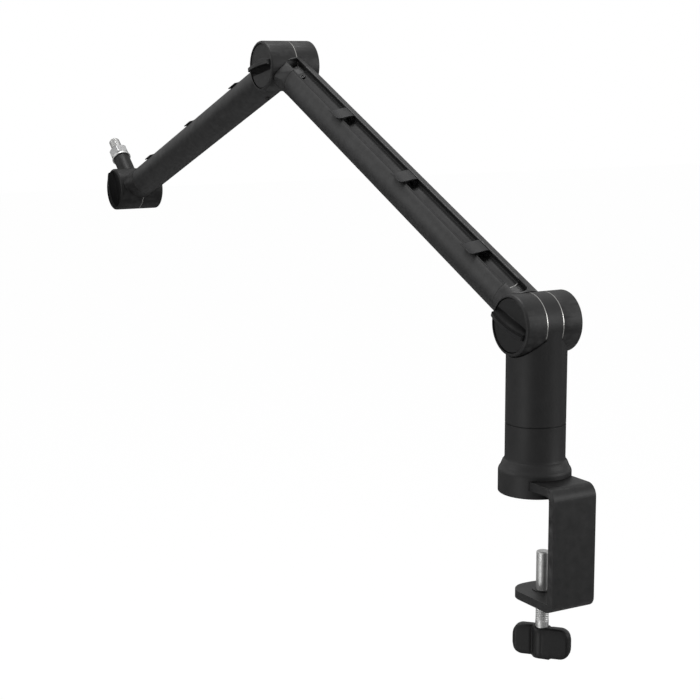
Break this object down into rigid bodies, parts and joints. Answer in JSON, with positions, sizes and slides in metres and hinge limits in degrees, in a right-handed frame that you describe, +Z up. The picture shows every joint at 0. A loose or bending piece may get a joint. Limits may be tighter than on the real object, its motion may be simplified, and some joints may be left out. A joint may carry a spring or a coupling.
{
  "type": "microphone boom arm",
  "caption": "Desk-clamped boom arm with a swivel column, tubular arms with a cable channel, knob-tightened friction joints and a threaded microphone end.",
  "frame": {"origin": "centre of the pad under the base, on the column's axis, in the plane of the desk surface", "axes": "+Z up along the column, +X the way the arm reaches over the desk, +Y towards the knob side of the joints"},
  "size_m": [0.6943, 0.0466, 0.3683],
  "materials": {
    "black_coat": "matt black powder coat",
    "black_steel": "matt black powder coat",
    "black_plastic": "fine moulded texture",
    "rubber": "matt",
    "washer_plastic": "smooth",
    "bronze": "machined",
    "brass": "machined",
    "washer_steel": "brushed",
    "bright_steel": "zinc plated"
  },
  "bodies": {
    "root": {"clamp_bracket": "black_steel", "clamp_bush": "black_steel", "base_housing": "black_coat", "base_pad": "rubber", "base_screws": "bright_steel", "lower_bush": "bronze", "upper_bush": "bronze", "swivel_washer": "washer_plastic"},
    "column": {"column": "black_coat", "swivel_post": "bright_steel", "post_spring": "bright_steel", "post_nut": "bright_steel"},
    "lower_arm": {"lower_arm_foot": "black_coat", "lower_tube": "black_coat", "lower_tube_screws": "black_steel", "lower_clips": "black_plastic", "lower_arm_head": "black_coat", "shoulder_bolt": "bright_steel", "shoulder_cap": "black_coat", "shoulder_washers": "washer_steel", "shoulder_springs": "bright_steel", "shoulder_knob_washer": "bright_steel", "elbow_bolt": "bright_steel", "elbow_cap": "black_coat", "elbow_washer": "washer_steel"},
    "upper_arm": {"upper_arm_foot": "black_coat", "upper_tube": "black_coat", "upper_tube_screws": "black_steel", "upper_clips": "black_plastic", "upper_arm_head": "black_coat", "elbow_springs": "bright_steel", "elbow_knob_washer": "bright_steel", "wrist_bolt": "bright_steel", "wrist_cap": "black_coat", "wrist_washer": "washer_steel"},
    "mic_mount": {"mic_mount_body": "black_coat", "mic_stud": "bright_steel", "wrist_springs": "bright_steel", "wrist_knob_washer": "bright_steel"},
    "lock_washer": {"lock_washer": "bright_steel"},
    "lock_nut": {"lock_nut": "bright_steel"},
    "shoulder_knob": {"shoulder_knob": "black_plastic", "shoulder_insert": "brass"},
    "elbow_knob": {"elbow_knob": "black_plastic", "elbow_insert": "brass"},
    "wrist_knob": {"wrist_knob": "black_plastic", "wrist_insert": "brass"},
    "clamp_tip": {"clamp_tip": "bright_steel"},
    "clamp_screw": {"clamp_screw": "bright_steel", "clamp_wing_knob": "black_plastic"}
  },
  "joints": [
    {"name": "column_swivel", "type": "hinge", "parent": "root", "child": "column", "pos_m": [0, 0, 0.0416], "axis": [0, 0, 1], "continuous": true},
    {"name": "shoulder", "type": "hinge", "parent": "column", "child": "lower_arm", "pos_m": [0, 0, 0.101], "axis": [0, 1, 0], "range_deg": [-119, 21]},
    {"name": "elbow", "type": "hinge", "parent": "lower_arm", "child": "upper_arm", "pos_m": [0.3124, 0, 0.24974], "axis": [0, 1, 0], "range_deg": [-131, 40]},
    {"name": "wrist", "type": "hinge", "parent": "upper_arm", "child": "mic_mount", "pos_m": [0.6053, 0, 0.14226], "axis": [0, 1, 0], "range_deg": [-49, 169]},
    {"name": "shoulder_knob_turn", "type": "hinge", "parent": "lower_arm", "child": "shoulder_knob", "pos_m": [0, 0.0194, 0.101], "axis": [0, 1, 0], "range_deg": [-45, 315]},
    {"name": "elbow_knob_turn", "type": "hinge", "parent": "upper_arm", "child": "elbow_knob", "pos_m": [0.3124, 0.0194, 0.24974], "axis": [0, 1, 0], "range_deg": [-45, 315]},
    {"name": "wrist_knob_turn", "type": "hinge", "parent": "mic_mount", "child": "wrist_knob", "pos_m": [0.6053, 0.0194, 0.14226], "axis": [0, 1, 0], "range_deg": [-45, 315]},
    {"name": "clamp_travel", "type": "slide", "parent": "root", "child": "clamp_tip", "axis": [0, 0, 1], "range_m": [-0.01688, 0.015]},
    {"name": "clamp_turn", "type": "hinge", "parent": "clamp_tip", "child": "clamp_screw", "pos_m": [-0.0097, 0, -0.06], "axis": [0, 0, 1], "range_deg": [-4860, 4320]},
    {"name": "lock_travel", "type": "slide", "parent": "mic_mount", "child": "lock_washer", "axis": [0.7547, 0, 0.6561], "range_m": [0, 0.00317]},
    {"name": "lock_turn", "type": "hinge", "parent": "lock_washer", "child": "lock_nut", "pos_m": [0.63851, 0, 0.17113], "axis": [0.7547, 0, 0.6561], "range_deg": [0, 720]}
  ],
  "couplings": [
    {"joint": "clamp_travel", "follows": "clamp_turn", "m_per_rad": 0.00019894},
    {"joint": "lock_travel", "follows": "lock_turn", "m_per_rad": 0.00025266}
  ]
}
